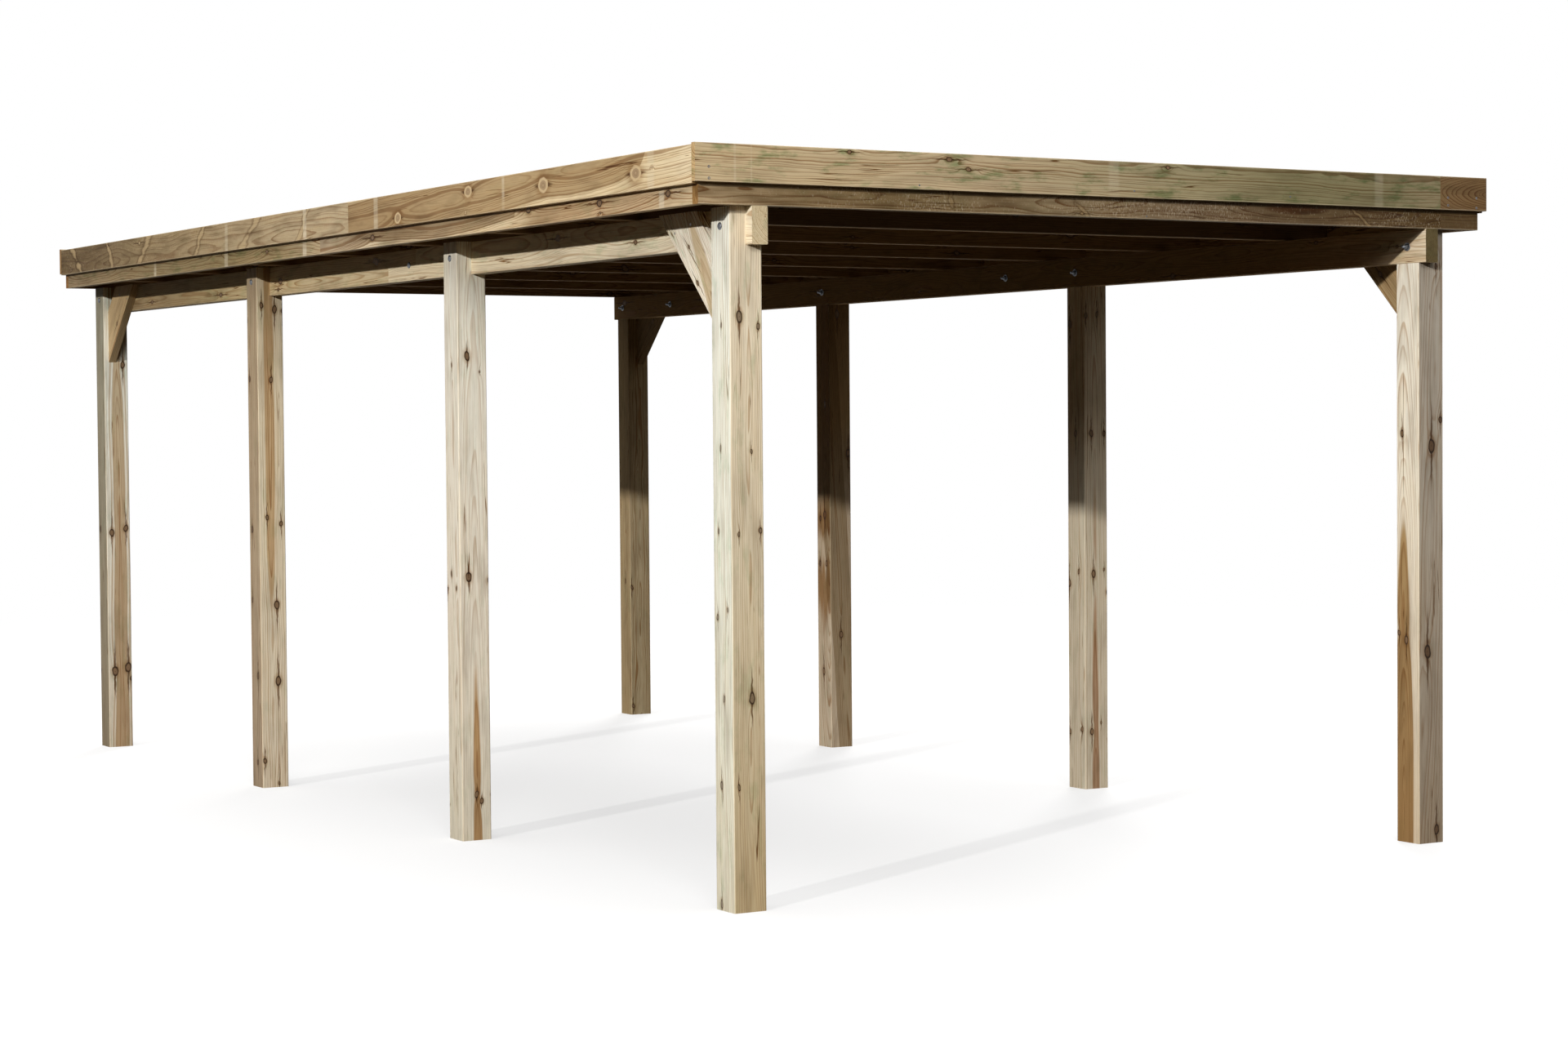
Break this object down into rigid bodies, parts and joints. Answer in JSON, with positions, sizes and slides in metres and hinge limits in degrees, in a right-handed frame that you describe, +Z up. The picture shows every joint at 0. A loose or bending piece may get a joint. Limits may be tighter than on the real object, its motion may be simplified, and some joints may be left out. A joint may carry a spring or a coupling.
{
  "type": "timber carport",
  "caption": "Open timber carport: square posts with notched heads carry long beams with knee braces, and a flat boarded roof on rafters with stepped rim and fascia boards.",
  "frame": {"origin": "on the ground at the middle of the roof's plan", "axes": "+X across the width, to the right seen from the front; +Y along the length, from the front to the rear; +Z up"},
  "size_m": [3.229, 6.205, 2.37],
  "materials": {
    "post_timber": "planed pressure-treated pine",
    "beam_timber": "planed pressure-treated pine",
    "brace_timber": "planed pressure-treated pine",
    "rafter_timber": "planed pressure-treated pine",
    "rim_timber": "planed pressure-treated pine, chalky streaks",
    "fascia_timber": "planed pressure-treated pine",
    "deck_boards": "tongue and groove roof boards",
    "roofing_felt": "bitumen felt with mineral grit",
    "zinc_steel": "zinc-plated bolts and screws"
  },
  "bodies": {
    "root": {"beam_left_front": "beam_timber", "beam_left_rear": "beam_timber", "beam_right_front": "beam_timber", "beam_right_rear": "beam_timber", "brace_left_front": "brace_timber", "brace_left_rear": "brace_timber", "brace_right_front": "brace_timber", "brace_right_rear": "brace_timber", "fascia_front": "fascia_timber", "fascia_front_end": "fascia_timber", "fascia_left_front": "fascia_timber", "fascia_left_rear": "fascia_timber", "fascia_rear": "fascia_timber", "fascia_rear_end": "fascia_timber", "fascia_right_front": "fascia_timber", "fascia_right_rear": "fascia_timber", "post_left_front": "post_timber", "post_left_rear": "post_timber", "post_left_second": "post_timber", "post_left_third": "post_timber", "post_right_front": "post_timber", "post_right_rear": "post_timber", "post_right_second": "post_timber", "post_right_third": "post_timber", "rafter_1": "rafter_timber", "rafter_2": "rafter_timber", "rafter_3": "rafter_timber", "rafter_4": "rafter_timber", "rafter_5": "rafter_timber", "rafter_6": "rafter_timber", "rafter_7": "rafter_timber", "rim_front": "rim_timber", "rim_front_end": "rim_timber", "rim_left_front": "rim_timber", "rim_left_rear": "rim_timber", "rim_rear": "rim_timber", "rim_rear_end": "rim_timber", "rim_right_front": "rim_timber", "rim_right_rear": "rim_timber", "roof_deck": "deck_boards", "roof_felt": "roofing_felt"}
  },
  "joints": []
}
